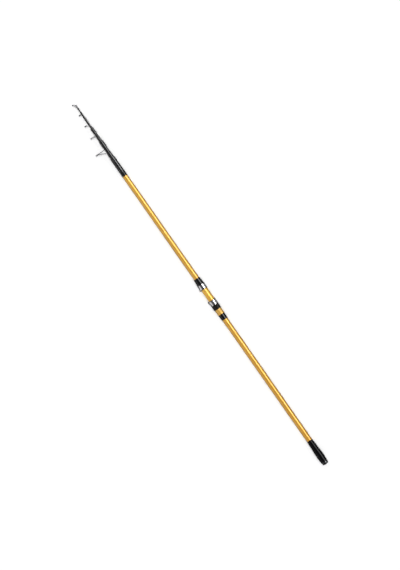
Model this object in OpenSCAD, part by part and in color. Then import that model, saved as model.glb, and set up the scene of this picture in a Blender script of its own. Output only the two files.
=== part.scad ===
// Telescopic fishing rod, closed: a butt section with a screw-locked reel seat and a rubber boot,
// three nested sections that each carry a line guide, and a tip with a floating guide and a tip-top.
// The rod lies along X. The butt end is at the origin, the tip points to +X and the guides to +Y.
// All sizes are in millimetres.

/* [Section tubes] */
// Outside diameter of the tip blank at its top end
tip_d = 3; // [2.4:0.1:3.6]
// How much wider the tip blank is at its lower end
tip_taper = 1.4; // [1:0.1:2]
// Wall of section 4
section_4_wall = 0.6; // [0.5:0.05:0.9]
// How much wider section 4 is at its lower end
section_4_taper = 1.7; // [1.2:0.1:2.4]
// Wall of section 3
section_3_wall = 0.9; // [0.6:0.05:1.2]
// How much wider section 3 is at its lower end
section_3_taper = 1.5; // [1:0.1:2.2]
// Wall of section 2
section_2_wall = 0.95; // [0.7:0.05:1.3]
// How much wider section 2 is at its lower end
section_2_taper = 0.9; // [0.6:0.1:1.8]
// Wall of the butt blank
butt_wall = 1; // [0.8:0.05:1.4]
// How much wider the butt blank is at the lower end of its mouth wrap than at its mouth
mouth_taper = 1.1; // [0.6:0.1:1.6]
// How much wider the grip is than the butt blank at the lower end of the mouth wrap
butt_taper = 1.4; // [0.8:0.1:2.2]
// Distance from the butt end to the butt blank's mouth
butt_l = 1208; // [1100:1:1300]
// Distance from the butt end to the lower end of section 2
bottom_room = 213; // [150:1:260]
// Length of tip blank that stands out of section 4
tip_out = 45; // [38:1:60]
// Radial clearance of a section's lower end in its parent's mouth
slide_gap = 0.1; // [0.05:0.05:0.2]
// Gap between a closed section's stop and its parent's mouth
stop_gap = 0.3; // [0.2:0.1:0.6]
// Glue line between two bonded pieces
bond = 0.05; // [0.02:0.01:0.08]

/* [Wraps] */
// Length of the black wrap below the butt blank's mouth
mouth_wrap_l = 73; // [40:1:120]
// Thickness of the wrap at the butt blank's mouth
mouth_wrap_t = 0.35; // [0.25:0.05:0.6]
// Length of section 2's front wrap
front_wrap_2_l = 25.8; // [20:0.1:32]
// Bare length between section 2's wraps
bare_2_l = 19.5; // [17:0.1:26]
// Length of section 2's rear wrap
rear_wrap_2_l = 19; // [14:0.1:26]
// Length of section 3's front wrap
front_wrap_3_l = 22.3; // [17:0.1:28]
// Bare length between section 3's wraps
bare_3_l = 10; // [9:0.1:14]
// Length of section 3's rear wrap
rear_wrap_3_l = 18.8; // [14:0.1:24]
// Length of section 4's front wrap
front_wrap_4_l = 24.9; // [18:0.1:30]
// Bare length between section 4's wraps
bare_4_l = 9; // [8:0.1:13]
// Length of section 4's rear wrap
rear_wrap_4_l = 11.4; // [9:0.1:16]
// Thread that covers a guide's foot
wrap_skin = 0.15; // [0.1:0.05:0.3]
// Thickness of a wrap at its feathered ends
wrap_edge = 0.2; // [0.15:0.05:0.3]
// Length over which a wrap feathers out
wrap_bevel = 2; // [1:0.1:3]

/* [Line guides] */
// Height of section 2's ring centre above the rod axis
guide_2_h = 35; // [28:0.5:42]
// Bore of section 2's ring
guide_2_bore = 10.4; // [9:0.1:13]
// Wire of section 2's guide
guide_2_wire = 1.7; // [1.3:0.1:2.1]
// Thickness of the feet of section 2's guide
guide_2_foot = 0.55; // [0.4:0.05:0.8]
// Width of the feet of section 2's guide
guide_2_foot_w = 3.2; // [2.4:0.1:4]
// Height of section 3's ring centre above the rod axis
guide_3_h = 19.4; // [16:0.2:24]
// Bore of section 3's ring
guide_3_bore = 6.7; // [6:0.1:8]
// Wire of section 3's guide
guide_3_wire = 1.4; // [1.1:0.1:1.7]
// Thickness of the feet of section 3's guide
guide_3_foot = 0.5; // [0.35:0.05:0.7]
// Width of the feet of section 3's guide
guide_3_foot_w = 2.6; // [2:0.1:3.2]
// Height of section 4's ring centre above the rod axis
guide_4_h = 13; // [11:0.2:16]
// Bore of section 4's ring
guide_4_bore = 6; // [5.4:0.1:7]
// Wire of section 4's guide
guide_4_wire = 1.1; // [0.9:0.1:1.4]
// Thickness of the feet of section 4's guide
guide_4_foot = 0.35; // [0.25:0.05:0.5]
// Width of the feet of section 4's guide
guide_4_foot_w = 2.2; // [1.6:0.1:2.6]
// Distance from a front wrap back to the plane of its ring
ring_back = 5.2; // [4.5:0.1:6]
// Radial wall of the ceramic rings
ring_wall = 0.7; // [0.5:0.05:1]
// Width of the ceramic rings along the rod
ring_w = 2.6; // [2:0.1:3]
// Radius of the ceramic rings' rounded bore in section
ring_crown = 2.1; // [2:0.05:2.6]
// Radial thickness of the metal band round a ring
band_t = 0.6; // [0.45:0.05:0.9]
// Width of the metal band round a ring
band_w = 2.2; // [1.6:0.1:2.4]
// Radius of the band's rounded outside in section
band_crown = 1.7; // [1.5:0.05:2.2]
// Length of a wrap left solid beyond the end of the foot under it
foot_margin = 4; // [3:0.5:6]

/* [Tip] */
// Length of the tip-top's tube
tube_l = 13.5; // [10:0.5:16]
// Wall of the tip-top's tube
tube_wall = 0.55; // [0.4:0.05:0.8]
// Height of the tip-top's ring centre above the rod axis
tip_ring_h = 8; // [7:0.1:9.5]
// Bore of the tip-top's ring
tip_ring_bore = 3.8; // [3:0.1:4.6]
// Distance from the tip-top's tube forward to the plane of its ring
tip_ring_lead = 3.6; // [3:0.1:5]
// Wire of the tip-top
tip_wire = 0.9; // [0.7:0.1:1.1]
// Length of the floating guide's collar
collar_l = 19; // [14:0.5:21]
// Wall of the floating guide's collar
collar_wall = 0.7; // [0.5:0.05:1]
// Height of the floating guide's ring centre above the rod axis
float_h = 8.2; // [7.4:0.1:10]
// Bore of the floating guide's ring
float_bore = 4; // [3.4:0.1:4.6]
// Wire of the floating guide
float_wire = 1; // [0.8:0.1:1.2]
// How far the floating guide slides down the tip blank before it jams on the taper
float_reach = 450; // [350:5:600]

/* [Reel seat] */
// Distance from the butt end to the seat's tail ring
seat_x = 571; // [450:1:650]
// Length of the tail ring
tail_l = 20; // [14:0.5:30]
// Wall of the tail ring at its thin end
tail_lip = 0.5; // [0.3:0.1:1]
// Wall of the seat body over the grip
seat_wall = 2.05; // [1.8:0.05:3]
// Height of the seat body's thread
thread_h = 0.3; // [0.2:0.05:0.4]
// Length of bare thread below the lock nut
thread_l = 19.4; // [19:0.2:26]
// How far the lock nut can run forward from where it is drawn
nut_forward = 10; // [6:1:14]
// Length of the lock nut
nut_l = 17.5; // [12:0.5:20]
// Wall of the lock nut
nut_wall = 1.1; // [1:0.05:1.8]
// Radius of the lock nut's grip flutes
flute_r = 0.9; // [0.6:0.1:1.2]
// Depth of the lock nut's grip flutes
flute_depth = 0.5; // [0.3:0.05:0.6]
// Number of grip flutes round the lock nut
flutes = 20; // [12:1:24]
// Plain rim at each end of the lock nut
nut_rim = 2; // [1:0.1:3]
// Running clearance of the lock nut and the moving hood on the seat body
run_gap = 0.15; // [0.1:0.05:0.25]
// Length of each hood
hood_l = 17.5; // [16:0.5:24]
// Wall of the hoods round the seat body
hood_wall = 1.2; // [0.9:0.1:1.6]
// How far a hood's arch stands above its round part at its mouth
arch_rise = 2.4; // [2:0.1:3.2]
// How far a hood's arch falls from its mouth to its back
arch_fall = 2.8; // [2.2:0.1:3.4]
// Radius across a hood's arch
arch_r = 11; // [10:0.5:12]
// Wall of a hood's arch
arch_wall = 0.8; // [0.6:0.05:1]
// Depth of the pocket under a hood's arch
arch_l = 13.5; // [11:0.5:15]
// Open deck between the two hoods
foot_gap = 43; // [36:0.5:60]
// Depth of the flat deck below the seat body's round surface
deck_drop = 1.5; // [1.2:0.05:1.6]
// Width of the moving hood's key
key_w = 2.6; // [2:0.1:3.4]
// Height of the moving hood's key below the seat body's surface
key_h = 0.9; // [0.6:0.1:1.2]
// Length of the moving hood's key
key_l = 8; // [5:0.5:10]
// Length of the black cone in front of the fixed hood
cone_l = 24.5; // [18:0.5:30]
// Depth of the socket in the cone that takes the seat body's front end
cone_socket = 8; // [5:0.5:12]
// Step from the fixed hood down to the cone
cone_step = 0.1; // [0.05:0.05:0.5]
// Wall of the cone at its thin end
cone_lip = 1.2; // [0.8:0.1:1.6]

/* [Butt end] */
// Length of the rubber boot
boot_l = 83.6; // [70:0.2:100]
// Largest diameter of the rubber boot
boot_d = 24.4; // [23:0.1:27]
// Diameter of the boot's lower end
boot_end_d = 22.2; // [21.6:0.1:22.8]
// Distance from the boot's lower end to its widest stretch
bulge_x = 16.6; // [10:0.2:20]
// Length of the boot's widest stretch
bulge_l = 8; // [6:0.5:14]
// Wall of the boot at its lip
boot_lip = 0.25; // [0.15:0.05:0.5]
// Length of the butt plug's head
cap_l = 6.6; // [6:0.2:9]
// Diameter of the butt plug's head
cap_d = 20.4; // [20:0.1:21.4]
// Rounding of the butt plug's outer edge
cap_round = 4; // [2:0.5:5]
// Gap between the plug's head and the insert's rim
cap_gap = 0.4; // [0.3:0.05:0.6]
// Length of the insert's rim that shows between the plug and the boot
rim_l = 2.4; // [1.6:0.1:3.2]
// Diameter of the insert's rim
rim_d = 21.2; // [20.6:0.1:21.8]
// Wall of the threaded insert
insert_wall = 1; // [0.8:0.05:1.2]
// Length of the threaded insert inside the blank
insert_l = 20; // [16:0.5:30]
// Thickness of the insert's flange under the blank's end
flange_t = 1.4; // [1:0.1:2]
// Length of the plug's shank inside the insert
shank_l = 16; // [10:0.5:20]
// Wall of the plug's hollow shank
shank_wall = 1.6; // [1.2:0.1:2.5]
// Height of the thread on the plug's shank
plug_thread_h = 0.4; // [0.3:0.05:0.5]
// Radial clearance of the plug's thread in the insert
plug_gap = 0.1; // [0.05:0.05:0.15]
// Thickness of the plug's seal
seal_d = 1.4; // [1.2:0.1:1.6]
// Width of the plug's coin slot
slot_w = 2.2; // [1.6:0.1:3]
// Length of the plug's coin slot
slot_l = 10; // [8:0.5:11]
// Depth of the plug's coin slot
slot_depth = 2.5; // [1.5:0.1:3.5]

/* [Hidden] */
$fn = 96;

// Colours
gold = "goldenrod";
lacquer = [0.07, 0.07, 0.08];
rubber = [0.12, 0.12, 0.13];
plastic = [0.1, 0.1, 0.1];
chrome = "silver";
wire_grey = "dimgray";
ceramic = [0.25, 0.25, 0.28];

// Sections 2, 3 and 4 share their modules, and these lists hold their sizes in that order
walls = [section_2_wall, section_3_wall, section_4_wall];
tapers = [section_2_taper, section_3_taper, section_4_taper];
front_ls = [front_wrap_2_l, front_wrap_3_l, front_wrap_4_l];
bare_ls = [bare_2_l, bare_3_l, bare_4_l];
rear_ls = [rear_wrap_2_l, rear_wrap_3_l, rear_wrap_4_l];
guide_hs = [guide_2_h, guide_3_h, guide_4_h];
guide_bores = [guide_2_bore, guide_3_bore, guide_4_bore];
guide_wires = [guide_2_wire, guide_3_wire, guide_4_wire];
foot_ts = [guide_2_foot, guide_3_foot, guide_4_foot];
foot_ws = [guide_2_foot_w, guide_3_foot_w, guide_4_foot_w];
first_section = 2;
last_section = 4;
function pick(list, n) = list[n - first_section];

// Radii, built outwards from the tip so that each mouth takes the section inside it
tip_low_r = (tip_d + tip_taper) / 2;
function mouth_r(n) = slide_gap + (n == last_section ? tip_low_r : low_r(n + 1));
function top_r(n) = mouth_r(n) + pick(walls, n);
function low_r(n) = top_r(n) + pick(tapers, n) / 2;
butt_mouth_r = low_r(first_section) + slide_gap;
butt_top_r = butt_mouth_r + butt_wall;
wrap_foot_r = butt_top_r + mouth_taper / 2;
grip_r = wrap_foot_r + butt_taper / 2;
grip_bore_r = grip_r - butt_wall;

// Places along the rod
nested_l = butt_l - bottom_room;
function exposed(n) = stop_gap + pick(rear_ls, n) + pick(bare_ls, n) + pick(front_ls, n);
function top_x(n) = exposed(n) + (n == first_section ? butt_l : top_x(n - 1));
function parent_x(n) = top_x(n) - exposed(n);
function low_x(n) = parent_x(n) - nested_l;
function section_r(n, x) = low_r(n) + (top_r(n) - low_r(n)) * (x - low_x(n)) / (top_x(n) - low_x(n));
function rear_x0(n) = parent_x(n) + stop_gap;
function rear_x1(n) = rear_x0(n) + pick(rear_ls, n);
function front_x0(n) = top_x(n) - pick(front_ls, n);
function ring_x(n) = front_x0(n) - ring_back;

tip_x0 = top_x(last_section) - nested_l;
tip_x1 = top_x(last_section) + tip_out;
function tip_r(x) = tip_low_r + (tip_d / 2 - tip_low_r) * (x - tip_x0) / (tip_x1 - tip_x0);

// Reel seat
tail_x1 = seat_x + tail_l;
nut_x0 = tail_x1 + thread_l;
nut_x1 = nut_x0 + nut_l;
hood_x0 = nut_x1 + stop_gap;
hood_x1 = hood_x0 + hood_l;
fixed_x0 = hood_x1 + foot_gap;
cone_x0 = fixed_x0 + hood_l;
cone_x1 = cone_x0 + cone_l;
thread_x1 = nut_x1 + nut_forward + run_gap;
blank_hug_r = grip_r + bond;
seat_r = blank_hug_r + seat_wall;
root_r = seat_r - thread_h;
deck_y = seat_r - deck_drop;
ride_r = seat_r + run_gap;
nut_r = ride_r + nut_wall;
hood_r = ride_r + hood_wall;
arch_y = hood_r + arch_rise - arch_r;
key_r = seat_r - key_h;
keyway_r = key_r - run_gap;
keyway_w = key_w + 2 * run_gap;
taper_lead = 4;
taper_x = cone_x1 + taper_lead;

// Butt end
rim_x0 = cap_l + cap_gap;
boot_x0 = rim_x0 + rim_l;
boot_x1 = boot_x0 + boot_l;
blank_x0 = boot_x0 + flange_t;
insert_r = grip_bore_r - bond;
insert_bore_r = insert_r - insert_wall;
shank_r = insert_bore_r - plug_gap - plug_thread_h;
shank_x1 = rim_x0 + shank_l;
seal_r = (insert_bore_r + grip_r) / 2;
seal_x = rim_x0 - bond - seal_d / 2;
groove_w = seal_d + 2 * bond;
mouth_wrap_x0 = butt_l - mouth_wrap_l;

// Curved profiles are drawn in steps of a half cosine
curve_steps = 12;
function half_wave(t) = (1 - cos(180 * t)) / 2;
function ease(x0, r0, x1, r1) = [
    for (i = [0 : curve_steps])
        let (t = i / curve_steps) [r0 + (r1 - r0) * half_wave(t), x0 + (x1 - x0) * t]
];

// Solid of revolution about the rod axis, from points of radius and place along the rod
module turned(points) {
    rotate([0, 90, 0]) rotate_extrude() polygon(points);
}

// Round bar about the rod axis
module bar(x0, x1, r) {
    translate([x0, 0, 0]) rotate([0, 90, 0]) cylinder(h = x1 - x0, r = r);
}

// Round wire between two points, with a brazed bead at each end
bead = 1.12;
module wire(p, q, d) {
    run = q - p;
    reach = norm(run);
    translate(p) rotate([0, acos(run.z / reach), atan2(run.y, run.x)]) cylinder(h = reach, d = d);
    translate(p) sphere(d = bead * d);
    translate(q) sphere(d = bead * d);
}

// Tapered tube with an even wall
module tapered_tube(x0, r0, x1, r1, wall) {
    turned([[r0 - wall, x0], [r0, x0], [r1, x1], [r1 - wall, x1]]);
}

// Outside radius of the ceramic ring, and of the band that holds it
function ring_r(bore) = bore / 2 + ring_wall;
function band_r(bore) = ring_r(bore) + bond + band_t;

// Ceramic ring with a rounded bore, centred on its own axis along X
module ceramic_ring(bore) {
    rotate([0, 90, 0]) rotate_extrude() intersection() {
        translate([bore / 2, -ring_w / 2]) square([ring_wall, ring_w]);
        translate([bore / 2 + ring_crown, 0]) circle(r = ring_crown);
    }
}

// Metal band round a ceramic ring, before the ring's seat is bored through it
module ring_band(bore) {
    rotate([0, 90, 0]) rotate_extrude() intersection() {
        translate([bore / 2, -band_w / 2]) square([band_r(bore) - bore / 2, band_w]);
        translate([band_r(bore) - band_crown, 0]) circle(r = band_crown);
    }
}

// Point on a band, at an angle from straight down towards the rod, on side 1 or -1
function band_point(x, h, bore, angle, side) =
    let (r = band_r(bore) - band_t / 2) [x, h - r * cos(angle), side * r * sin(angle)];

// Two wires from a band, one each side, that come together on the rod
leg_spread = 0.35;
module leg_pair(x, h, bore, angle, foot_x, foot_y, d) {
    for (side = [-1, 1])
        wire(band_point(x, h, bore, angle, side), [foot_x, foot_y, side * leg_spread * d], d);
}

// Angles on the band where the upright legs and the raked braces start
leg_angle = 30;
brace_angle = 72;

// Frame of a line guide: band, upright legs at x1 and raked braces that land at x0
module ring_frame(x, h, bore, x0, x1, foot_y, d) {
    difference() {
        union() {
            translate([x, h, 0]) ring_band(bore);
            leg_pair(x, h, bore, leg_angle, x1, foot_y, d);
            leg_pair(x, h, bore, brace_angle, x0, foot_y, d);
        }
        translate([0, h, 0]) bar(x - ring_w, x + ring_w, ring_r(bore) + bond);
    }
}

// Plan of a guide's foot, from its broad end at x0 to its narrow end at x1, grown by a margin
foot_point = 0.5;
module foot_plan(x0, x1, w, grow) {
    way = sign(x1 - x0);
    broad = w / 2 + grow;
    narrow = foot_point * w / 2 + grow;
    rotate([-90, 0, 0]) linear_extrude(height = band_r(guide_2_bore) + guide_2_h)
        polygon([
            [x0 - way * grow, -broad], [x1 + way * grow, -narrow],
            [x1 + way * grow, narrow], [x0 - way * grow, broad]
        ]);
}

// Foot of a guide, curved to lie on a tube of radius r
module foot(x0, x1, w, r, t) {
    intersection() {
        bar(min(x0, x1), max(x0, x1), r + t);
        foot_plan(x0, x1, w, 0);
    }
}

// Where a guide's legs land, and where its feet end under the wraps
function leg_x(n) = ring_x(n) + pick(guide_wires, n) / 2;
function brace_x(n) = rear_x1(n) + pick(guide_wires, n);
function front_foot_x(n) = top_x(n) - foot_margin;
function rear_foot_x(n) = rear_x0(n) + foot_margin;
function guide_seat_r(n) = section_r(n, rear_x0(n)) + bond;

// Wrap of thread on section n, thick enough to cover a foot, feathered at both ends
module wrap(n, x0, x1) {
    t = pick(foot_ts, n) + bond + wrap_skin;
    foot_r = guide_seat_r(n) + pick(foot_ts, n) + bond;
    function hug(x) = section_r(n, x) + bond;
    difference() {
        turned([
            [hug(x0), x0], [hug(x0) + wrap_edge, x0],
            [hug(x0 + wrap_bevel) + t, x0 + wrap_bevel], [hug(x1 - wrap_bevel) + t, x1 - wrap_bevel],
            [hug(x1) + wrap_edge, x1], [hug(x1), x1]
        ]);
        intersection() {
            bar(x0 - wrap_bevel, x1 + wrap_bevel, foot_r);
            union() {
                foot_plan(leg_x(n), front_foot_x(n), pick(foot_ws, n), bond);
                foot_plan(brace_x(n), rear_foot_x(n), pick(foot_ws, n), bond);
            }
        }
    }
}

module section_blank(n) {
    color(lacquer) tapered_tube(low_x(n), low_r(n), top_x(n), top_r(n), pick(walls, n));
}

module front_wrap(n) {
    color(lacquer) wrap(n, front_x0(n), top_x(n));
}

module rear_wrap(n) {
    color(lacquer) wrap(n, rear_x0(n), rear_x1(n));
}

module guide_frame(n) {
    d = pick(guide_wires, n);
    seat = guide_seat_r(n);
    color(wire_grey) difference() {
        union() {
            ring_frame(
                ring_x(n), pick(guide_hs, n), pick(guide_bores, n),
                brace_x(n), leg_x(n), seat + d / 2, d
            );
            foot(leg_x(n), front_foot_x(n), pick(foot_ws, n), seat, pick(foot_ts, n));
            foot(brace_x(n), rear_foot_x(n), pick(foot_ws, n), seat, pick(foot_ts, n));
        }
        bar(parent_x(n), top_x(n) + stop_gap, seat);
    }
}

module guide_ring(n) {
    color(ceramic) translate([ring_x(n), pick(guide_hs, n), 0]) ceramic_ring(pick(guide_bores, n));
}

module tip_blank() {
    color(lacquer) turned([[0, tip_x0], [tip_low_r, tip_x0], [tip_d / 2, tip_x1], [0, tip_x1]]);
}

// Floating guide: a collar that rides on the tip blank
collar_x0 = top_x(last_section) + stop_gap;
collar_x1 = collar_x0 + collar_l;
collar_bore_r = tip_r(collar_x0 - float_reach) + slide_gap;
collar_r = collar_bore_r + collar_wall;
float_x = (collar_x0 + collar_x1) / 2;
collar_end = 3;

module floating_guide_frame() {
    color(chrome) difference() {
        union() {
            bar(collar_x0, collar_x1, collar_r);
            ring_frame(
                float_x, float_h, float_bore, collar_x0 + collar_end, float_x,
                collar_r, float_wire
            );
        }
        bar(collar_x0 - stop_gap, collar_x1 + stop_gap, collar_bore_r);
    }
}

module floating_guide_ring() {
    color(ceramic) translate([float_x, float_h, 0]) ceramic_ring(float_bore);
}

// Tip-top: a blind tube over the tip blank's end
tip_bore_r = tip_r(tip_x1 - tube_l) + bond;
tube_r = tip_bore_r + tube_wall;
tube_end = tip_x1 + bond;
tube_x1 = tube_end + tube_wall;
tube_x0 = tube_x1 - tube_l;
tip_ring_x = tube_x1 + tip_ring_lead;
tip_leg_angle = 40;

module tip_top_frame() {
    color(chrome) difference() {
        union() {
            bar(tube_x0, tube_x1, tube_r);
            translate([tip_ring_x, tip_ring_h, 0]) ring_band(tip_ring_bore);
            leg_pair(
                tip_ring_x, tip_ring_h, tip_ring_bore, tip_leg_angle,
                tube_x1 - tip_wire, tube_r, tip_wire
            );
            leg_pair(
                tip_ring_x, tip_ring_h, tip_ring_bore, brace_angle,
                tube_x0 + collar_end, tube_r, tip_wire
            );
        }
        bar(tube_x0 - stop_gap, tube_end, tip_bore_r);
        translate([0, tip_ring_h, 0])
            bar(tip_ring_x - ring_w, tip_ring_x + ring_w, ring_r(tip_ring_bore) + bond);
    }
}

module tip_top_ring() {
    color(ceramic) translate([tip_ring_x, tip_ring_h, 0]) ceramic_ring(tip_ring_bore);
}

module butt_blank() {
    color(gold) turned([
        [grip_bore_r, blank_x0], [grip_r, blank_x0], [grip_r, taper_x],
        [wrap_foot_r, mouth_wrap_x0], [butt_top_r, butt_l],
        [butt_mouth_r, butt_l], [wrap_foot_r - butt_wall, mouth_wrap_x0], [grip_bore_r, taper_x]
    ]);
}

module mouth_wrap() {
    color(lacquer) tapered_tube(
        mouth_wrap_x0, wrap_foot_r + bond + mouth_wrap_t,
        butt_l, butt_top_r + bond + mouth_wrap_t, mouth_wrap_t
    );
}

module butt_boot() {
    bulge_x0 = boot_x0 + bulge_x;
    bulge_x1 = bulge_x0 + bulge_l;
    color(rubber) turned(concat(
        [[blank_hug_r, boot_x0]],
        ease(boot_x0, boot_end_d / 2, bulge_x0, boot_d / 2),
        ease(bulge_x1, boot_d / 2, boot_x1, blank_hug_r + boot_lip),
        [[blank_hug_r, boot_x1]]
    ));
}

// Threaded insert, with a bevelled rim that the plug's head screws down on
rim_bevel = 0.6;
module butt_insert() {
    rim_r = rim_d / 2;
    color(chrome) turned([
        [insert_bore_r, rim_x0], [rim_r - rim_bevel, rim_x0], [rim_r, rim_x0 + rim_bevel],
        [rim_r, boot_x0 - bond], [grip_r, boot_x0 - bond], [grip_r, blank_x0 - bond],
        [insert_r, blank_x0 - bond], [insert_r, blank_x0 + insert_l], [insert_bore_r, blank_x0 + insert_l]
    ]);
}

module butt_plug() {
    head_r = cap_d / 2;
    color(plastic) difference() {
        union() {
            rotate([0, 90, 0]) rotate_extrude() union() {
                translate([0, cap_round]) square([head_r, cap_l - cap_round]);
                square([head_r - cap_round, cap_l]);
                intersection() {
                    translate([head_r - cap_round, cap_round]) circle(r = cap_round);
                    square([head_r, cap_l]);
                }
            }
            bar(cap_l / 2, shank_x1, shank_r);
        }
        bar(cap_l, shank_x1 + stop_gap, shank_r - shank_wall);
        rotate([0, 90, 0]) rotate_extrude()
            translate([seal_r - groove_w / 2, seal_x - groove_w / 2]) square([groove_w, cap_l]);
        translate([0, -slot_w / 2, -slot_l / 2]) cube([slot_depth, slot_w, slot_l]);
    }
}

module plug_seal() {
    color(rubber) rotate([0, 90, 0]) rotate_extrude() translate([seal_r, seal_x]) circle(d = seal_d);
}

// Flat deck for the reel foot, from under one hood to under the other
module deck_cut() {
    x0 = hood_x1 - arch_l;
    x1 = fixed_x0 + arch_l;
    translate([x0, deck_y, -seat_r]) cube([x1 - x0, seat_r, 2 * seat_r]);
}

// Keyway opposite the deck, as long as the moving hood's key travels
module keyway_cut() {
    x0 = hood_x0 - thread_l;
    x1 = hood_x1 + nut_forward;
    translate([x0, -keyway_r - seat_r, -keyway_w / 2]) cube([x1 - x0, seat_r, keyway_w]);
}

module seat_body() {
    seat_x1 = cone_x0 + cone_socket - bond;
    color(gold) difference() {
        turned([
            [blank_hug_r, tail_x1], [root_r, tail_x1], [root_r, thread_x1], [seat_r, thread_x1 + thread_h],
            [seat_r, seat_x1], [blank_hug_r, seat_x1]
        ]);
        deck_cut();
        keyway_cut();
    }
}

module seat_tail_ring() {
    color(plastic) turned([
        [blank_hug_r, seat_x], [blank_hug_r + tail_lip, seat_x],
        [root_r, tail_x1 - bond], [blank_hug_r, tail_x1 - bond]
    ]);
}

module lock_nut() {
    color(plastic) difference() {
        bar(nut_x0, nut_x1, nut_r);
        bar(nut_x0 - stop_gap, nut_x1 + stop_gap, ride_r);
        for (i = [0 : flutes - 1])
            rotate([360 * i / flutes, 0, 0])
                translate([0, nut_r + flute_r - flute_depth, 0])
                    bar(nut_x0 + nut_rim, nut_x1 - nut_rim, flute_r);
    }
}

// Arch of a hood with its mouth at x = 0, a round bar that falls towards the back like a wedge
module hood_arch(r) {
    translate([0, arch_y, 0]) rotate([0, 0, -atan(arch_fall / hood_l)]) bar(-hood_l, 2 * hood_l, r);
}

// Hood with its mouth at x = 0, on a bore of radius r
module hood(r) {
    difference() {
        intersection() {
            union() {
                bar(0, hood_l, hood_r);
                hood_arch(arch_r);
            }
            bar(0, hood_l, 2 * hood_r);
        }
        bar(-stop_gap, hood_l + stop_gap, r);
        intersection() {
            hood_arch(arch_r - arch_wall);
            bar(-stop_gap, arch_l, 2 * hood_r);
        }
    }
}

module fixed_hood() {
    color(chrome) translate([fixed_x0, 0, 0]) hood(seat_r + bond);
}

module moving_hood() {
    key_x = (hood_x0 + hood_x1 - key_l) / 2;
    color(chrome) union() {
        translate([hood_x1, 0, 0]) mirror([1, 0, 0]) hood(ride_r);
        intersection() {
            translate([key_x, -hood_r, -key_w / 2]) cube([key_l, hood_r - key_r, key_w]);
            bar(hood_x0, hood_x1, ride_r + hood_wall / 2);
        }
    }
}

module fixed_hood_cone() {
    socket_x = cone_x0 + cone_socket;
    color(plastic) turned([
        [seat_r + bond, cone_x0 + bond], [hood_r - cone_step, cone_x0 + bond],
        [blank_hug_r + cone_lip, cone_x1], [blank_hug_r, cone_x1],
        [blank_hug_r, socket_x], [seat_r + bond, socket_x]
    ]);
}

butt_blank();
mouth_wrap();
butt_boot();
butt_insert();
butt_plug();
plug_seal();
seat_body();
seat_tail_ring();
lock_nut();
moving_hood();
fixed_hood();
fixed_hood_cone();
section_blank(2);  // section_2_blank
front_wrap(2);  // section_2_front_wrap
rear_wrap(2);  // section_2_rear_wrap
guide_frame(2);  // guide_2_frame
guide_ring(2);  // guide_2_ring
section_blank(3);  // section_3_blank
front_wrap(3);  // section_3_front_wrap
rear_wrap(3);  // section_3_rear_wrap
guide_frame(3);  // guide_3_frame
guide_ring(3);  // guide_3_ring
section_blank(4);  // section_4_blank
front_wrap(4);  // section_4_front_wrap
rear_wrap(4);  // section_4_rear_wrap
guide_frame(4);  // guide_4_frame
guide_ring(4);  // guide_4_ring
tip_blank();
floating_guide_frame();
floating_guide_ring();
tip_top_frame();
tip_top_ring();
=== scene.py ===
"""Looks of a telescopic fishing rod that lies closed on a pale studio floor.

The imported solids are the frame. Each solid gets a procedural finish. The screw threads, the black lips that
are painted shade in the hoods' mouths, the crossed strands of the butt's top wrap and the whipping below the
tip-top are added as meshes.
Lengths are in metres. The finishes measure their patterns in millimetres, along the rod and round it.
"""

from __future__ import annotations

import logging
import math
from collections.abc import Callable
from dataclasses import dataclass
from enum import Enum

import bmesh
import bpy
from bmesh.types import BMesh
from bpy.types import Material, Node, NodeSocket, NodeTree, Object
from mathutils import Matrix, Vector

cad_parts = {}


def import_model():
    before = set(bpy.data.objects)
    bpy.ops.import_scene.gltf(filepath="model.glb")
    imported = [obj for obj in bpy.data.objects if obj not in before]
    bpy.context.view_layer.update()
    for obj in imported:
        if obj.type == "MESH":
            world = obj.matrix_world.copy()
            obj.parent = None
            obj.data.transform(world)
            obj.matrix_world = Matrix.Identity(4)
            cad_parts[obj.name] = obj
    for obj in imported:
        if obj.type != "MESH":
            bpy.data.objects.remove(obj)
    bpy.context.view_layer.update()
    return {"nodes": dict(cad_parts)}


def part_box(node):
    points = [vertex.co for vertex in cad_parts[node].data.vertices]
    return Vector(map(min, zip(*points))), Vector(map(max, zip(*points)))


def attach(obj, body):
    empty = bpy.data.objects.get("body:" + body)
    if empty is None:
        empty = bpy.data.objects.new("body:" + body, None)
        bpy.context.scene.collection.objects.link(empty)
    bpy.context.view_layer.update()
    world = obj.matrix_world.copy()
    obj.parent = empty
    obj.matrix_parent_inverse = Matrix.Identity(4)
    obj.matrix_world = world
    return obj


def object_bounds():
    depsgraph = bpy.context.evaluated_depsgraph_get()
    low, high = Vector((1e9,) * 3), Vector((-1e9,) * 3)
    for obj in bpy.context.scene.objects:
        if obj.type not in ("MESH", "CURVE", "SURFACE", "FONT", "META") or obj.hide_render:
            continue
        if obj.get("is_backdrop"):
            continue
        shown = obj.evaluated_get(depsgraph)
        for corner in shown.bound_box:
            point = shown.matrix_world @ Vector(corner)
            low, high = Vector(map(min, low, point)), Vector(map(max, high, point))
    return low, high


MM = 0.001
MIX_SOCKETS = ("Factor_Float", "A_Color", "B_Color")
Colour = tuple[float, float, float, float]
Feed = NodeSocket | float | Colour | tuple[float, float, float]

log = logging.getLogger("rod")


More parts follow.
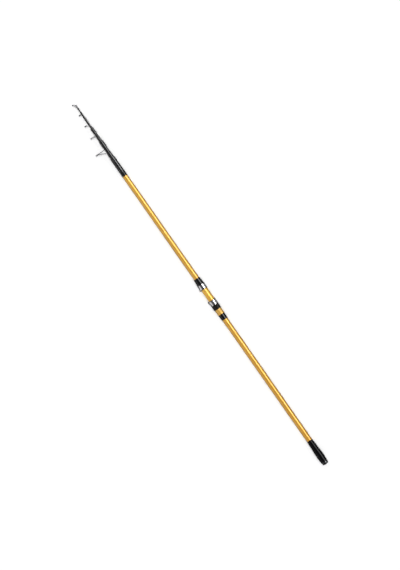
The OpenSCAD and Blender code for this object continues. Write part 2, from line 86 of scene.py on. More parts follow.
class Bench:
    """A node tree under construction."""

    def __init__(self, tree: NodeTree) -> None:
        """Start on an empty tree."""
        self.tree = tree

    def node(self, kind: str, **settings: object) -> Node:
        """Add a node.

        Args:
            kind: Name of the node's type.
            settings: Properties to set on the node.

        Returns:
            The new node.
        """
        made = self.tree.nodes.new(kind)
        for name, value in settings.items():
            setattr(made, name, value)
        return made

    def feed(self, socket: NodeSocket, source: Feed) -> None:
        """Link a socket to another node's output, or set its own value.

        Args:
            socket: The input socket.
            source: An output socket, or a plain value.
        """
        if isinstance(source, NodeSocket):
            self.tree.links.new(source, socket)
        else:
            socket.default_value = source

    def math(self, operation: str, first: Feed, second: Feed = 0.0) -> NodeSocket:
        """Add a Math node.

        Args:
            operation: Name of the operation.
            first: First number.
            second: Second number.

        Returns:
            The result's socket.
        """
        made = self.node("ShaderNodeMath", operation=operation)
        self.feed(made.inputs[0], first)
        self.feed(made.inputs[1], second)
        return made.outputs[0]

    def spread(self, value: Feed, low: float, high: float) -> NodeSocket:
        """Map a value of 0 to 1 on a range.

        Args:
            value: The value to map.
            low: Result at 0.
            high: Result at 1.

        Returns:
            The result's socket.
        """
        made = self.node("ShaderNodeMapRange")
        self.feed(made.inputs["Value"], value)
        self.feed(made.inputs["To Min"], low)
        self.feed(made.inputs["To Max"], high)
        return made.outputs["Result"]

    def step(self, value: Feed, start: float, end: float) -> NodeSocket:
        """Turn a value into a mask that eases from 0 at start to 1 at end.

        Args:
            value: The value to mask.
            start: Where the mask is 0.
            end: Where the mask is 1.

        Returns:
            The mask's socket.
        """
        made = self.node("ShaderNodeMapRange", interpolation_type="SMOOTHSTEP")
        self.feed(made.inputs["Value"], value)
        self.feed(made.inputs["From Min"], start)
        self.feed(made.inputs["From Max"], end)
        return made.outputs["Result"]

    def mix(self, share: Feed, first: Feed, second: Feed) -> NodeSocket:
        """Mix two colours.

        Args:
            share: Share of the second colour.
            first: Colour at a share of 0.
            second: Colour at a share of 1.

        Returns:
            The mixed colour's socket.
        """
        made = self.node("ShaderNodeMix", data_type="RGBA")
        factor, low, high = (next(s for s in made.inputs if s.identifier == name) for name in MIX_SOCKETS)
        self.feed(factor, share)
        self.feed(low, first)
        self.feed(high, second)
        return next(s for s in made.outputs if s.identifier == "Result_Color")

    def effect(self, group: NodeTree, **values: Feed) -> Node:
        """Place a shared effect in this tree.

        Args:
            group: The effect's node group.
            values: What feeds the group's inputs, by name.

        Returns:
            The group's node.
        """
        made = self.node("ShaderNodeGroup", node_tree=group)
        for name, value in values.items():
            self.feed(made.inputs[name], value)
        return made


class Effects:
    """Shader node groups that several finishes share, each built once."""

    GRAIN_DETAIL = {"Grain": 3.0, "Drift": 2.0}
    PATCH_DETAIL = 4.0
    PATCH_EDGE = (0.5, 0.72)
    LINE_DETAIL = 5.0

    @staticmethod
    def _group(name: str, inputs: dict[str, float], outputs: tuple[str, ...],
               fill: Callable[[Bench, Node, Node], None]) -> NodeTree:
        """Make a group of numbers, or find it where it is made already.

        Args:
            name: The group's name.
            inputs: Input names with their first values.
            outputs: Output names.
            fill: Puts the nodes between the group's input and output nodes.

        Returns:
            The node group.
        """
        found = bpy.data.node_groups.get(name)
        if found:
            return found
        tree = bpy.data.node_groups.new(name, "ShaderNodeTree")
        for key, value in inputs.items():
            socket = tree.interface.new_socket(key, in_out="INPUT", socket_type="NodeSocketFloat")
            socket.default_value = value
        for key in outputs:
            tree.interface.new_socket(key, in_out="OUTPUT", socket_type="NodeSocketFloat")
        bench = Bench(tree)
        fill(bench, bench.node("NodeGroupInput"), bench.node("NodeGroupOutput"))
        return tree

    @staticmethod
    def _millimetres(bench: Bench) -> NodeSocket:
        """Read the place on the piece in millimetres.

        Args:
            bench: The tree that needs it.

        Returns:
            The Object coordinates' socket, scaled.
        """
        place = bench.node("ShaderNodeTexCoord")
        scaled = bench.node("ShaderNodeVectorMath", operation="SCALE")
        bench.feed(scaled.inputs[0], place.outputs["Object"])
        bench.feed(scaled.inputs["Scale"], 1 / MM)
        return scaled.outputs[0]

    @classmethod
    def rod_place(cls) -> NodeTree:
        """Give the place on the rod.

        Returns:
            The group: millimetres along the rod, and turns round it.
        """

        def fill(bench: Bench, given: Node, result: Node) -> None:
            """Split the coordinates.

            Args:
                bench: The group's tree.
                given: The group's input node; not used.
                result: The group's output node.
            """
            split = bench.node("ShaderNodeSeparateXYZ")
            bench.feed(split.inputs[0], cls._millimetres(bench))
            along, up, side = split.outputs
            angle = bench.math("ARCTAN2", side, up)
            bench.feed(result.inputs["Along"], along)
            bench.feed(result.inputs["Turn"], bench.math("DIVIDE", angle, math.tau))

        return cls._group("rod_place", {}, ("Along", "Turn"), fill)

    @classmethod
    def thread_lay(cls) -> NodeTree:
        """Draw the rounded turns of a thread or tape wound round the rod.

        Returns:
            The group: a height of 0 to 1.
        """

        def fill(bench: Bench, given: Node, result: Node) -> None:
            """Draw one ridge for each turn of the helix.

            Args:
                bench: The group's tree.
                given: The group's input node.
                result: The group's output node.
            """
            place = bench.effect(cls.rod_place())
            turns = bench.math("DIVIDE", place.outputs["Along"], given.outputs["Pitch"])
            phase = bench.math("MULTIPLY", bench.math("ADD", turns, place.outputs["Turn"]), math.pi)
            bench.feed(result.inputs["Height"], bench.math("ABSOLUTE", bench.math("SINE", phase)))

        return cls._group("thread_lay", {"Pitch": 0.4}, ("Height",), fill)

    @classmethod
    def grain(cls) -> NodeTree:
        """Draw the skin of a moulded or sprayed surface.

        Returns:
            The group: its fine grain, and the slow drift of its shade.
        """

        def fill(bench: Bench, given: Node, result: Node) -> None:
            """Draw a fine and a slow noise.

            Args:
                bench: The group's tree.
                given: The group's input node.
                result: The group's output node.
            """
            where = cls._millimetres(bench)
            for name, detail in cls.GRAIN_DETAIL.items():
                noise = bench.node("ShaderNodeTexNoise")
                bench.feed(noise.inputs["Vector"], where)
                bench.feed(noise.inputs["Scale"], bench.math("DIVIDE", 1.0, given.outputs[f"{name} size"]))
                bench.feed(noise.inputs["Detail"], detail)
                bench.feed(result.inputs[name], noise.outputs[0])

        return cls._group("grain", {"Grain size": 0.3, "Drift size": 20.0}, ("Grain", "Drift"), fill)

    @classmethod
    def rubbing(cls) -> NodeTree:
        """Draw where hands, rests and sand have dulled a surface.

        Returns:
            The group: soft patches, and hairlines round the rod.
        """

        def fill(bench: Bench, given: Node, result: Node) -> None:
            """Draw soft patches and fine lines that run round the rod.

            Args:
                bench: The group's tree.
                given: The group's input node.
                result: The group's output node.
            """
            place = bench.effect(cls.rod_place())
            patch = bench.node("ShaderNodeTexNoise")
            bench.feed(patch.inputs["Vector"], cls._millimetres(bench))
            bench.feed(patch.inputs["Scale"], bench.math("DIVIDE", 1.0, given.outputs["Patch size"]))
            bench.feed(patch.inputs["Detail"], cls.PATCH_DETAIL)
            bench.feed(result.inputs["Patch"], bench.step(patch.outputs[0], *cls.PATCH_EDGE))
            lines = bench.node("ShaderNodeCombineXYZ")
            fine = bench.math("DIVIDE", place.outputs["Along"], given.outputs["Line size"])
            bench.feed(lines.inputs["X"], fine)
            angle = bench.math("MULTIPLY", place.outputs["Turn"], math.tau)
            bench.feed(lines.inputs["Y"], bench.math("SINE", angle))
            scratch = bench.node("ShaderNodeTexNoise")
            bench.feed(scratch.inputs["Vector"], lines.outputs[0])
            bench.feed(scratch.inputs["Scale"], 1.0)
            bench.feed(scratch.inputs["Detail"], cls.LINE_DETAIL)
            bench.feed(result.inputs["Lines"], scratch.outputs[0])

        return cls._group("rubbing", {"Patch size": 9.0, "Line size": 0.12}, ("Patch", "Lines"), fill)


@dataclass(frozen=True)
class Shade:
    """What varies over a surface, each 0 to 1: second colour, rougher value, relief and clear coat."""

    tone: NodeSocket
    dull: NodeSocket
    height: NodeSocket
    gloss: NodeSocket | None = None


@dataclass(frozen=True)
class Finish:
    """A surface finish: what is the same all over it, and what its own nodes vary."""

    name: str
    colour: Colour
    second: Colour
    roughness: tuple[float, float]
    metallic: float = 0.0
    coat: float = 0.0
    coat_roughness: float = 0.03
    coat_ior: float = 1.5
    specular: float = 0.5
    bump_mm: float = 0.0

    def shade(self, bench: Bench) -> Shade:
        """Draw what varies over the surface.

        Args:
            bench: The material's tree.

        Returns:
            A slow drift of tone over a fine grain.
        """
        skin = bench.effect(Effects.grain())
        return Shade(skin.outputs["Drift"], skin.outputs["Grain"], skin.outputs["Grain"])

    def material(self) -> Material:
        """Build the material, or find it where it is built already.

        Returns:
            The material.
        """
        found = bpy.data.materials.get(self.name)
        if found:
            return found
        made = bpy.data.materials.new(self.name)
        made.use_nodes = True
        made.node_tree.nodes.clear()
        bench = Bench(made.node_tree)
        shader = bench.node("ShaderNodeBsdfPrincipled")
        output = bench.node("ShaderNodeOutputMaterial")
        bench.feed(output.inputs["Surface"], shader.outputs["BSDF"])
        shade = self.shade(bench)
        bench.feed(shader.inputs["Base Color"], bench.mix(shade.tone, self.colour, self.second))
        bench.feed(shader.inputs["Roughness"], bench.spread(shade.dull, *self.roughness))
        coat = bench.spread(shade.gloss, 0.0, self.coat) if shade.gloss else self.coat
        bench.feed(shader.inputs["Coat Weight"], coat)
        shader.inputs["Metallic"].default_value = self.metallic
        shader.inputs["Coat Roughness"].default_value = self.coat_roughness
        shader.inputs["Coat IOR"].default_value = self.coat_ior
        shader.inputs["Specular IOR Level"].default_value = self.specular
        if self.bump_mm:
            bump = bench.node("ShaderNodeBump")
            bump.inputs["Distance"].default_value = self.bump_mm * MM
            bench.feed(bump.inputs["Height"], shade.height)
            bench.feed(shader.inputs["Normal"], bump.outputs["Normal"])
        made.diffuse_color = self.colour
        return made


@dataclass(frozen=True)
class GoldLacquer(Finish):
    """Gold flake lacquer under a clear coat, deeper in tone towards the butt."""

    flake_mm: float = 0.22
    drift_mm: float = 70.0
    pale_at_mm: float = 1135.0
    deep_at_mm: float = 93.0
    depth_share: float = 0.35
    drift_share: float = 0.4
    flake_share: float = 0.9

    def shade(self, bench: Bench) -> Shade:
        """Draw the flakes, and a tone that deepens along the rod.

        Args:
            bench: The material's tree.

        Returns:
            The flakes' tone, dullness and relief.
        """
        place = bench.effect(Effects.rod_place())
        skin = bench.effect(Effects.grain(), **{"Grain size": self.flake_mm, "Drift size": self.drift_mm})
        depth = bench.step(place.outputs["Along"], self.pale_at_mm, self.deep_at_mm)
        drift = bench.math("MULTIPLY", skin.outputs["Drift"], self.drift_share)
        tone = bench.math("ADD", bench.math("MULTIPLY", depth, self.depth_share), drift)
        flake = bench.spread(skin.outputs["Grain"], -self.flake_share / 2, self.flake_share / 2)
        return Shade(bench.math("ADD", tone, flake), skin.outputs["Grain"], skin.outputs["Grain"])


@dataclass(frozen=True)
class WoundThread(Finish):
    """Thread or tape wound round the blank and filled with lacquer, which may have a duller lower end."""

    pitch_mm: float = 0.4
    grain_mm: float = 1.5
    drift_mm: float = 12.0
    dull_to_mm: float = 0.0
    clear_from_mm: float = 0.0
    dull_share: float = 0.35

    def clearing(self, bench: Bench) -> NodeSocket:
        """Draw the share of the coat, less at the dull end.

        Args:
            bench: The material's tree.

        Returns:
            The share's socket.
        """
        place = bench.effect(Effects.rod_place())
        clear = bench.step(place.outputs["Along"], self.dull_to_mm, self.clear_from_mm)
        return bench.spread(clear, self.dull_share, 1.0)

    def shade(self, bench: Bench) -> Shade:
        """Draw the turns of thread.

        Args:
            bench: The material's tree.

        Returns:
            The turns' tone and relief, with less coat at a dull end.
        """
        turns = bench.effect(Effects.thread_lay(), Pitch=self.pitch_mm).outputs["Height"]
        skin = bench.effect(Effects.grain(), **{"Grain size": self.grain_mm, "Drift size": self.drift_mm})
        tone = bench.math("MULTIPLY", turns, skin.outputs["Drift"])
        gloss = self.clearing(bench) if self.clear_from_mm else None
        return Shade(tone, skin.outputs["Grain"], turns, gloss)


@dataclass(frozen=True)
class Rubbed(Finish):
    """A skin with fine grain that use has dulled in patches."""

    grain_mm: float = 0.25
    drift_mm: float = 25.0
    patch_mm: float = 9.0
    patch_share: float = 0.6

    def shade(self, bench: Bench) -> Shade:
        """Draw the grain and the dulled patches.

        Args:
            bench: The material's tree.

        Returns:
            The dusty tone and dullness of the patches, and the grain's relief.
        """
        skin = bench.effect(Effects.grain(), **{"Grain size": self.grain_mm, "Drift size": self.drift_mm})
        worn = bench.effect(Effects.rubbing(), **{"Patch size": self.patch_mm})
        tone = bench.math("MULTIPLY", worn.outputs["Patch"], skin.outputs["Drift"])
        dull = bench.math("ADD", bench.math("MULTIPLY", worn.outputs["Patch"], self.patch_share),
                          bench.math("MULTIPLY", skin.outputs["Grain"], 1 - self.patch_share))
        return Shade(tone, dull, skin.outputs["Grain"])


@dataclass(frozen=True)
class PolishedMetal(Finish):
    """Metal with hairlines that polishing left round the rod."""

    line_mm: float = 0.12
    patch_mm: float = 4.0
    drift_mm: float = 8.0
    patch_share: float = 0.3

    def shade(self, bench: Bench) -> Shade:
        """Draw the hairlines and a slow drift of tone.

        Args:
            bench: The material's tree.

        Returns:
            The drift of tone, and the hairlines' dullness and relief.
        """
        worn = bench.effect(Effects.rubbing(), **{"Line size": self.line_mm, "Patch size": self.patch_mm})
        skin = bench.effect(Effects.grain(), **{"Drift size": self.drift_mm})
        dull = bench.math("ADD", bench.math("MULTIPLY", worn.outputs["Lines"], 1 - self.patch_share),
                          bench.math("MULTIPLY", worn.outputs["Patch"], self.patch_share))
        return Shade(skin.outputs["Drift"], dull, worn.outputs["Lines"])


class Look(Enum):
    """The finishes on the rod."""

    GOLD_BLANK = GoldLacquer(
        "gold_blank_lacquer", (0.86, 0.485, 0.08, 1), (0.64, 0.295, 0.028, 1), (0.22, 0.36),
        metallic=0.52, coat=0.6, coat_roughness=0.08, bump_mm=0.004)
    GOLD_SEAT = GoldLacquer(
        "gold_seat_lacquer", (0.93, 0.555, 0.095, 1), (0.76, 0.38, 0.045, 1), (0.25, 0.4),
        metallic=0.52, coat=0.5, coat_roughness=0.1, bump_mm=0.004, pale_at_mm=740.0, deep_at_mm=560.0)
    # Gold lacquer with painted shade: darker and greyer than the seat's gold, standing in for the shade
    # between the thread's turns.
    SHADED_GOLD_THREAD = GoldLacquer(
        "gold_thread_lacquer_and_shade", (0.74, 0.475, 0.12, 1), (0.58, 0.325, 0.065, 1), (0.3, 0.46),
        metallic=0.45, coat=0.3, coat_roughness=0.12, bump_mm=0.004, pale_at_mm=740.0, deep_at_mm=560.0)
    BLACK_BLANK = WoundThread(
        "black_blank_lacquer", (0.0015, 0.0015, 0.002, 1), (0.005, 0.005, 0.006, 1), (0.15, 0.3), coat=1.0,
        coat_roughness=0.05, coat_ior=1.6, specular=0.08, bump_mm=0.006, pitch_mm=2.4)
    BLACK_WRAP = WoundThread(
        "black_thread_wrap", (0.0015, 0.0015, 0.002, 1), (0.006, 0.006, 0.007, 1), (0.2, 0.34), coat=1.0,
        coat_roughness=0.04, coat_ior=1.75, specular=0.08, bump_mm=0.02, pitch_mm=0.4,
        dull_to_mm=1146.0, clear_from_mm=1158.0)
    CROSS_STRAND = WoundThread(
        "cross_wrap_strand", (0.002, 0.002, 0.0025, 1), (0.009, 0.009, 0.01, 1), (0.25, 0.45), coat=1.0,
        coat_roughness=0.06, coat_ior=1.75, specular=0.1, bump_mm=0.02, pitch_mm=0.3,
        dull_to_mm=1146.0, clear_from_mm=1158.0)
    RUBBER = Rubbed(
        "boot_rubber_skin", (0.0015, 0.0015, 0.002, 1), (0.004, 0.004, 0.005, 1), (0.12, 0.22),
        specular=0.18, bump_mm=0.01, grain_mm=0.35)
    PLASTIC = Rubbed(
        "black_moulded_plastic", (0.0015, 0.0015, 0.002, 1), (0.005, 0.005, 0.006, 1), (0.22, 0.4),
        coat=0.9, coat_roughness=0.08, coat_ior=1.55, specular=0.08, bump_mm=0.01, grain_mm=0.2, patch_mm=6.0)
    NUT_PLASTIC = Rubbed(
        "nut_satin_plastic", (0.0025, 0.002, 0.0015, 1), (0.008, 0.006, 0.004, 1), (0.3, 0.5),
        coat=0.4, coat_roughness=0.14, specular=0.1, bump_mm=0.012, grain_mm=0.2, patch_mm=5.0)
    HOOD_STEEL = PolishedMetal(
        "hood_polished_steel", (0.92, 0.92, 0.94, 1), (0.76, 0.76, 0.79, 1), (0.12, 0.28),
        metallic=1.0, bump_mm=0.003)
    GUIDE_STEEL = PolishedMetal(
        "guide_smoked_steel", (0.36, 0.36, 0.38, 1), (0.2, 0.2, 0.21, 1), (0.18, 0.34),
        metallic=1.0, bump_mm=0.004, line_mm=0.2)
    TIP_STEEL = PolishedMetal(
        "tip_dark_steel", (0.018, 0.018, 0.02, 1), (0.009, 0.009, 0.01, 1), (0.18, 0.34),
        metallic=1.0, bump_mm=0.004, line_mm=0.2)
    CERAMIC = Rubbed(
        "ring_dark_ceramic", (0.05, 0.05, 0.055, 1), (0.09, 0.09, 0.095, 1), (0.06, 0.16),
        coat=0.3, specular=0.7, bump_mm=0.001, grain_mm=0.1, patch_mm=2.0)
    ALLOY = PolishedMetal(
        "insert_turned_alloy", (0.22, 0.22, 0.235, 1), (0.14, 0.14, 0.15, 1), (0.2, 0.36),
        metallic=1.0, bump_mm=0.01, line_mm=0.3)
    FLOOR = Finish(
        "studio_floor", (0.88, 0.88, 0.88, 1), (0.86, 0.86, 0.86, 1), (0.75, 0.85), specular=0.1)


class Workshop:
    """Turns meshes into pieces of the rod and puts finishes on them."""

    sharp_from: float = math.radians(35)

    def __init__(self, nodes: dict[str, Object]) -> None:
        """Take the frame's solids, by name."""
        self.nodes = nodes

    def dress(self, node: str, look: Look) -> None:
        """Put a finish on a solid of the frame.

        Args:
            node: The solid's name.
            look: Its finish.
        """
        for slot in self.nodes[node].material_slots:
            slot.material = look.value.material()
        log.info("%s: %s", node, look.value.name)

    def add(self, name: str, mesh: BMesh, look: Look, body: str, slot: str) -> None:
        """Make a piece that rides on a body.

        Args:
            name: The piece's name.
            mesh: Its mesh, in place, which is freed here.
            look: Its finish.
            body: The body it moves with.
            slot: The record's material slot that it belongs to; not used.
        """
        bmesh.ops.recalc_face_normals(mesh, faces=mesh.faces)
        data = bpy.data.meshes.new(name)
        for face in mesh.faces:
            face.smooth = True
        mesh.to_mesh(data)
        mesh.free()
        data.set_sharp_from_angle(angle=self.sharp_from)
        data.materials.append(look.value.material())
        piece = bpy.data.objects.new(name, data)
        bpy.context.scene.collection.objects.link(piece)
        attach(piece, body)
        log.info("%s: %s, %d faces, on %s", name, look.value.name, len(data.polygons), body)


@dataclass
class Helix:
    """A ridge of small section wound round the rod axis, or inside a bore where its height is below 0."""

    radius: float
    height: float
    root_width: float
    crest_width: float
    sink: float = 0.05 * MM
    steps_per_turn: int = 64

    def wind(self, mesh: BMesh, start_x: float, start_angle: float, turns: float, lead: float) -> None:
        """Spin the section into a closed strip and add it to a mesh.

        Args:
            mesh: The mesh to add to.
            start_x: Place along the rod where the strip's middle starts.
            start_angle: Angle from +Y where it starts.
            turns: How many turns it makes, less than 0 to wind the other way.
            lead: How far it moves along the rod in a turn.
        """
        low = self.radius - self.sink
        high = self.radius + self.height
        outline = [
            (-self.root_width / 2, low), (-self.crest_width / 2, high),
            (self.crest_width / 2, high), (self.root_width / 2, low),
        ]
        turn = Matrix.Rotation(start_angle, 3, "X")
        corners = [mesh.verts.new(turn @ Vector((start_x + x, r, 0))) for x, r in outline]
        first = mesh.faces.new(corners)
        steps = max(2, round(abs(turns) * self.steps_per_turn))
        bmesh.ops.spin(
            mesh, geom=[first, *first.edges, *corners], cent=(0, 0, 0), axis=(1, 0, 0),
            dvec=(lead * abs(turns) / steps, 0, 0), angle=turns * math.tau, steps=steps,
            use_merge=False, use_duplicate=False)


@dataclass
class ReelSeat:
    """Pipe reel seat: gold body with a thread, black nut and ends, steel hoods, and black lips of painted
    shade in the hoods' mouths.
    """

    pitch: float = 2 * MM
    thread_height: float = 0.28 * MM
    crest: float = 0.5 * MM
    root: float = 1.5 * MM
    keyway_x: float = 608.8 * MM
    thread_end: float = 633 * MM
    keyway_half_angle: float = math.radians(9)
    lip_width: float = 1.8 * MM
    lip_proud: float = 0.1 * MM
    merge_within: float = 0.01 * MM

    def thread(self) -> BMesh:
        """Wind the thread, whole below the keyway and broken by it above.

        Returns:
            The thread's ridges.
        """
        mesh = bmesh.new()
        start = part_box("seat_body")[0].x + self.root
        ridge = Helix(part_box("seat_tail_ring")[1].z, self.thread_height, self.root, self.crest)
        whole = math.floor((self.keyway_x - start) / self.pitch)
        ridge.wind(mesh, start, math.pi, whole, self.pitch)
        arc = 1 - self.keyway_half_angle / math.pi
        lead_in = self.keyway_half_angle / math.tau
        first_angle = math.pi + self.keyway_half_angle
        for turn in range(whole, math.floor((self.thread_end - start) / self.pitch)):
            ridge.wind(mesh, start + (turn + lead_in) * self.pitch, first_angle, arc, self.pitch)
        return mesh

    def lip(self, hood: str, way: int) -> BMesh:
        """Cut the edge of a hood's mouth off a copy of the hood, and let it stand a little proud, to be
        dressed black as painted shade in the mouth.

        Args:
            hood: The hood's name.
            way: 1 where the mouth looks up the rod, -1 where it looks down it.

        Returns:
            A black lip of painted shade round the mouth, closed.
        """
        mesh = bmesh.new()
        mesh.from_mesh(bpy.data.objects[hood].data)
        bmesh.ops.remove_doubles(mesh, verts=mesh.verts, dist=self.merge_within)
        low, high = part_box(hood)
        mouth = high.x if way > 0 else low.x
        bmesh.ops.bisect_plane(
            mesh, geom=[*mesh.verts, *mesh.edges, *mesh.faces], plane_co=(mouth - way * self.lip_width, 0, 0),
            plane_no=(-way, 0, 0), clear_outer=True)
        rim = [edge for edge in mesh.edges if edge.is_boundary]
        bmesh.ops.triangle_fill(mesh, edges=rim, use_beauty=True, normal=(-way, 0, 0))
        bmesh.ops.recalc_face_normals(mesh, faces=mesh.faces)
        mesh.normal_update()
        for vert in mesh.verts:
            vert.co += vert.normal * self.lip_proud
        return mesh

    def build(self, shop: Workshop) -> None:
        """Add the thread and the black lips that paint shade in the hoods' mouths, and dress the seat's
        solids.

        Args:
            shop: Makes the pieces and puts the finishes on.
        """
        # The thread's finish paints shade between its turns.
        shop.add("seat_thread", self.thread(), Look.SHADED_GOLD_THREAD, "butt", "gold_seat")
        # Painted shade: black lips where shade falls in the hoods' mouths.
        shop.add("fixed_hood_shade_lip", self.lip("fixed_hood", -1), Look.PLASTIC, "butt", "black_plastic")
        shop.add("moving_hood_shade_lip", self.lip("moving_hood", 1), Look.PLASTIC, "moving_hood", "black_plastic")
        shop.dress("seat_body", Look.GOLD_SEAT)
        shop.dress("lock_nut", Look.NUT_PLASTIC)
        for node in ("seat_tail_ring", "fixed_hood_cone"):
            shop.dress(node, Look.PLASTIC)
        for node in ("moving_hood", "fixed_hood"):
            shop.dress(node, Look.HOOD_STEEL)


@dataclass
class ButtSection:
    """Gold butt blank with a crossed wrap below its mouth."""

    strands: int = 6
    strand_width: float = 0.9 * MM
    strand_height: float = 0.07 * MM
    end_margin: float = 3 * MM
    lay_angle: float = math.radians(45)
    ring_within: float = 0.1 * MM

    def crossing(self) -> BMesh:
        """Wind strands both ways round the tapering wrap, which cross in diamonds.

        Returns:
            The strands, fitted to the wrap.
        """
        mesh = bmesh.new()
        low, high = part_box("mouth_wrap")
        wide = high.z
        narrow = self.mouth_radius(high.x)
        start = low.x + self.end_margin
        length = high.x - low.x - 2 * self.end_margin
        lead = math.tau * wide * math.tan(self.lay_angle)
        slant = self.strand_width / math.cos(self.lay_angle)
        strand = Helix(wide, self.strand_height, slant, slant / 2)
        for way in (-1, 1):
            for i in range(self.strands):
                strand.wind(mesh, start, math.tau * i / self.strands, way * length / lead, lead)
        for vert in mesh.verts:
            share = (vert.co.x - low.x) / (high.x - low.x)
            fit = 1 + share * (narrow / wide - 1)
            vert.co.y *= fit
            vert.co.z *= fit
        return mesh

    def mouth_radius(self, mouth_x: float) -> float:
        """Radius of the wrap at the butt's mouth, read off the solid's last ring of points."""
        points = (vert.co for vert in bpy.data.objects["mouth_wrap"].data.vertices)
        return max(point.z for point in points if mouth_x - point.x < self.ring_within)

    def build(self, shop: Workshop) -> None:
        """Add the crossed strands and dress the butt's solids.

        Args:
            shop: Makes the pieces and puts the finishes on.
        """
        shop.add("mouth_wrap_strands", self.crossing(), Look.CROSS_STRAND, "butt", "black_lacquer")
        shop.dress("butt_blank", Look.GOLD_BLANK)
        shop.dress("mouth_wrap", Look.BLACK_WRAP)


@dataclass
class ButtEnd:
    """Rubber boot with a threaded insert, a screw plug and its seal."""

    pitch: float = 1.5 * MM
    crest: float = 0.3 * MM
    root: float = 0.8 * MM
    thread_x: float = 8.7 * MM
    shank_radius: float = 6.8 * MM
    plug_ridge: float = 0.4 * MM
    plug_turns: int = 9
    bore_radius: float = 7.3 * MM
    bore_ridge: float = 0.35 * MM
    bore_turns: int = 13

    def plug_thread(self) -> BMesh:
        """Wind the thread on the plug's shank.

        Returns:
            The thread's ridge.
        """
        mesh = bmesh.new()
        ridge = Helix(self.shank_radius, self.plug_ridge, self.root, self.crest)
        ridge.wind(mesh, self.thread_x, 0, self.plug_turns, self.pitch)
        return mesh

    def bore_thread(self) -> BMesh:
        """Wind the thread in the insert's bore, half a pitch on from the plug's.

        Returns:
            The thread's ridge.
        """
        mesh = bmesh.new()
        ridge = Helix(self.bore_radius, -self.bore_ridge, self.root, self.crest, sink=-Helix.sink)
        ridge.wind(mesh, self.thread_x + self.pitch / 2, 0, self.bore_turns, self.pitch)
        return mesh

    def build(self, shop: Workshop) -> None:
        """Add the two threads and dress the butt end's solids.

        Args:
            shop: Makes the pieces and puts the finishes on.
        """
        shop.add("plug_thread", self.plug_thread(), Look.PLASTIC, "butt_plug", "black_plastic")
        shop.add("insert_thread", self.bore_thread(), Look.ALLOY, "butt", "insert_alloy")
        shop.dress("butt_boot", Look.RUBBER)
        shop.dress("plug_seal", Look.RUBBER)
        shop.dress("butt_plug", Look.PLASTIC)
        shop.dress("butt_insert", Look.ALLOY)


@dataclass
class GuidedSection:
    """One of the sliding sections that carry a line guide."""

    number: int

    def build(self, shop: Workshop) -> None:
        """Dress the section's solids.

        Args:
            shop: Makes the pieces and puts the finishes on.
        """
        shop.dress(f"section_{self.number}_blank", Look.BLACK_BLANK)
        for end in ("front", "rear"):
            shop.dress(f"section_{self.number}_{end}_wrap", Look.BLACK_WRAP)
        shop.dress(f"guide_{self.number}_frame", Look.GUIDE_STEEL)
        shop.dress(f"guide_{self.number}_ring", Look.CERAMIC)


@dataclass
class TipSection:
    """Tip blank with its tip-top, the whipping that binds it on, and the guide that slides on it."""

    blank_radius: float = 1.51 * MM
    whipping_radius: float = 2.6 * MM
    whipping_gap: float = 1.2 * MM
    tube_lap: float = 1.5 * MM
    ramp: float = 3.5 * MM
    rounding: float = 0.8 * MM
    edge: float = 0.1 * MM
    sink: float = 0.05 * MM
    steps: int = 48

    def whipping(self) -> BMesh:
        """Wind a sleeve of thread over the blank and the lower end of the tip-top's tube.

        Returns:
            The whipping, closed and in place.
        """
        mesh = bmesh.new()
        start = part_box("floating_guide_frame")[1].x + self.whipping_gap
        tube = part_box("tip_top_frame")[0]
        end = tube.x + self.tube_lap
        inner = self.blank_radius - self.sink
        outline = [
            (start, inner), (start, self.blank_radius + self.edge), (start + self.ramp, self.whipping_radius),
            (end - self.rounding, self.whipping_radius), (end, self.sink - tube.y), (end, inner),
        ]
        corners = [mesh.verts.new((x, r, 0)) for x, r in outline]
        sides = [mesh.edges.new((corners[i - 1], corners[i])) for i in range(len(corners))]
        bmesh.ops.spin(
            mesh, geom=[*corners, *sides], cent=(0, 0, 0), axis=(1, 0, 0), angle=math.tau, steps=self.steps,
            use_merge=True, use_duplicate=False)
        return mesh

    def build(self, shop: Workshop) -> None:
        """Add the whipping and dress the tip's solids.

        Args:
            shop: Makes the pieces and puts the finishes on.
        """
        shop.add("tip_whipping", self.whipping(), Look.BLACK_WRAP, "tip", "black_lacquer")
        shop.dress("tip_blank", Look.BLACK_BLANK)
        shop.dress("tip_top_frame", Look.GUIDE_STEEL)
        shop.dress("floating_guide_frame", Look.TIP_STEEL)
        for guide in ("floating_guide", "tip_top"):
            shop.dress(f"{guide}_ring", Look.CERAMIC)


@dataclass
class Strip:
    """A long soft light beside the rod, seen in its gloss."""

    name: str
    lean: float
    distance: float
    size: tuple[float, float]
    radiance: float
    colour: tuple[float, float, float] = (1.0, 1.0, 1.0)


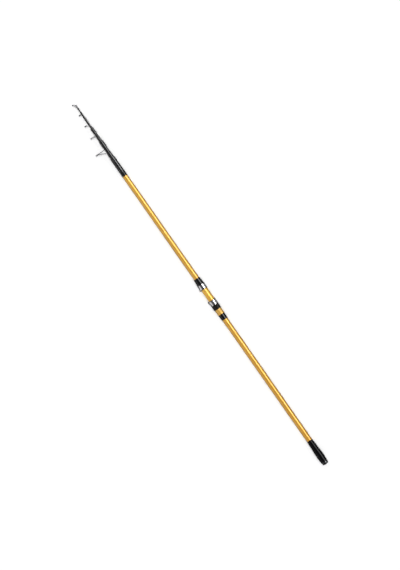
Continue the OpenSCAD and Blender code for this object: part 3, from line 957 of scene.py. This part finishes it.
@dataclass
class Studio:
    """Pale floor, soft light and a camera that looks straight down."""

    centre: tuple[float, float] = (0.7074, 0.0028)
    camera_height: float = 6.0
    view_height: float = 1.8428
    sensor: float = 36.0
    turn: float = math.radians(-124.91)
    floor_size: float = 30.0
    sky_top: float = 0.064
    sky_edge: float = 0.24
    sky_ends: float = 0.6
    ends_from: tuple[float, float] = (0.3, 0.8)
    overhead_strength: float = 2.75
    overhead_spread: float = math.radians(35)
    strips: tuple[Strip, ...] = (
        Strip("key_strip", math.radians(-40.5), 2.5, (4.0, 0.75), 7.9),
        Strip("fill_strip", math.radians(70), 2.5, (4.0, 1.4), 0.61, (1.0, 0.95, 0.94)),
    )

    def floor(self) -> None:
        """Lay the floor under the rod's lowest point, where the gloss doesn't show it."""
        mesh = bmesh.new()
        bmesh.ops.create_grid(mesh, x_segments=2, y_segments=2, size=self.floor_size / 2)
        bmesh.ops.translate(mesh, verts=mesh.verts, vec=(*self.centre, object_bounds()[0].z))
        data = bpy.data.meshes.new("floor")
        mesh.to_mesh(data)
        mesh.free()
        data.materials.append(Look.FLOOR.value.material())
        floor = bpy.data.objects.new("floor", data)
        floor.visible_glossy = False
        bpy.context.scene.collection.objects.link(floor)
        floor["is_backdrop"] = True

    def sky(self) -> None:
        """Light the studio all round, brightest beyond the rod's ends, before a white backdrop."""
        world = bpy.data.worlds.new("studio")
        bpy.context.scene.world = world
        world.use_nodes = True
        world.node_tree.nodes.clear()
        bench = Bench(world.node_tree)
        place = bench.node("ShaderNodeTexCoord")
        split = bench.node("ShaderNodeSeparateXYZ")
        bench.feed(split.inputs[0], place.outputs["Generated"])
        background = bench.node("ShaderNodeBackground")
        background.inputs["Color"].default_value = (1, 1, 1, 1)
        height = bench.math("ABSOLUTE", split.outputs["Z"])
        beyond = bench.step(bench.math("ABSOLUTE", split.outputs["X"]), *self.ends_from)
        ends = bench.math("MULTIPLY", beyond, self.sky_ends)
        around = bench.math("ADD", bench.spread(height, self.sky_edge, self.sky_top), ends)
        seen = bench.node("ShaderNodeLightPath").outputs["Is Camera Ray"]
        bench.feed(background.inputs["Strength"], bench.math("MAXIMUM", around, seen))
        output = bench.node("ShaderNodeOutputWorld")
        bench.feed(output.inputs["Surface"], background.outputs["Background"])

    def lamp(self, name: str, where: Vector, size: tuple[float, float], radiance: float) -> Object:
        """Hang an area light that faces the middle of the rod.

        Args:
            name: The light's name.
            where: Its place.
            size: Its length along the rod, and its width.
            radiance: How bright its face is.

        Returns:
            The light.
        """
        light = bpy.data.lights.new(name, "AREA")
        light.shape = "RECTANGLE"
        light.size, light.size_y = size
        light.energy = radiance * math.pi * size[0] * size[1]
        lamp = bpy.data.objects.new(name, light)
        bpy.context.scene.collection.objects.link(lamp)
        away = where - Vector((*self.centre, 0))
        side = Vector((1, 0, 0))
        facing = Matrix((side, away.normalized().cross(side), away.normalized())).transposed()
        lamp.matrix_world = Matrix.Translation(where) @ facing.to_4x4()
        lamp.visible_camera = False
        return lamp

    def lights(self) -> None:
        """Light the whole floor evenly from above, and hang strips that show in the gloss alone."""
        sun = bpy.data.lights.new("overhead", "SUN")
        sun.energy = self.overhead_strength
        sun.angle = self.overhead_spread
        over = bpy.data.objects.new("overhead", sun)
        over.visible_glossy = False
        bpy.context.scene.collection.objects.link(over)
        for strip in self.strips:
            reach = Vector((0, math.sin(strip.lean), math.cos(strip.lean))) * strip.distance
            lamp = self.lamp(strip.name, Vector((*self.centre, 0)) + reach, strip.size, strip.radiance)
            lamp.data.color = strip.colour
            lamp.visible_diffuse = False

    def camera(self) -> None:
        """Set the camera above the rod, turned so that the rod crosses the picture as photographed."""
        data = bpy.data.cameras.new("camera")
        data.sensor_width = self.sensor
        data.lens = self.sensor * self.camera_height / self.view_height
        camera = bpy.data.objects.new("camera", data)
        camera.location = (*self.centre, self.camera_height)
        camera.rotation_euler = (0, 0, self.turn)
        bpy.context.scene.collection.objects.link(camera)
        bpy.context.scene.camera = camera

    def build(self) -> None:
        """Set up the whole studio."""
        self.floor()
        self.sky()
        self.lights()
        self.camera()
        bpy.context.scene.view_settings.view_transform = "Standard"


def main() -> None:
    """Load the frame, build each sub-assembly and set up the studio."""
    logging.basicConfig(level=logging.INFO, format="%(name)s: %(message)s")
    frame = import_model()
    shop = Workshop(frame["nodes"])
    assemblies = [ButtSection(), ReelSeat(), ButtEnd(), *(GuidedSection(n) for n in (2, 3, 4)), TipSection()]
    for assembly in assemblies:
        assembly.build(shop)
    Studio().build()


if __name__ == "__main__":
    main()
